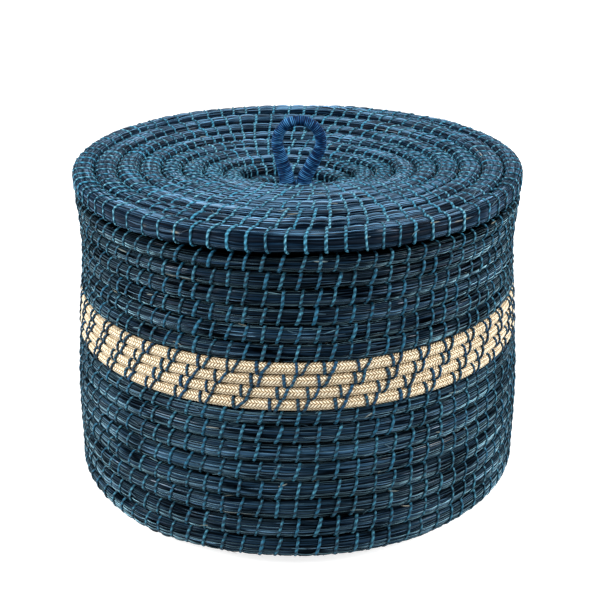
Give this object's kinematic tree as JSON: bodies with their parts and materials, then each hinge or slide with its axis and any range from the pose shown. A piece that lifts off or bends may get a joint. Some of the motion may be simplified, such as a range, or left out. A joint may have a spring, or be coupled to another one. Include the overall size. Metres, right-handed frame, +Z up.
{
  "type": "lidded storage basket",
  "caption": "Round coiled grass storage basket with a pale jute band round its wall, and a dished lift-off lid with a corded finger loop",
  "frame": {"origin": "middle of the underside of the basket's floor, on the surface that it stands on", "axes": "+Z up, out of the mouth and through the lid; -Y is the front, the side that the picture shows; +X is right as seen from the front"},
  "size_m": [0.3292, 0.3292, 0.2703],
  "materials": {
    "dyed_grass": "Bundles of thin dried grass blades dyed dark navy, loose and streaky, sewn over with teal two-ply twine",
    "jute_braid": "Undyed jute plaited flat over a grass core, sewn with pairs of navy threads",
    "loop_thread": "Cord closely wound with smooth blue thread, slightly glossy"
  },
  "bodies": {
    "basket": {"floor_coil": "dyed_grass", "lower_wall_coil": "dyed_grass", "jute_band": "jute_braid", "upper_wall_coil": "dyed_grass"},
    "lid": {"lid_coil": "dyed_grass", "lid_locating_ring": "dyed_grass", "loop_knot": "loop_thread"},
    "handle": {"finger_loop": "loop_thread"}
  },
  "joints": [
    {"name": "lid_lift", "type": "slide", "parent": "basket", "child": "lid", "axis": [0, 0, 1], "range_m": [0, 0.15]},
    {"name": "loop_tip", "type": "hinge", "parent": "lid", "child": "handle", "pos_m": [0, 0, 0.2237], "axis": [1, 0, 0], "range_deg": [-60, 60]}
  ]
}
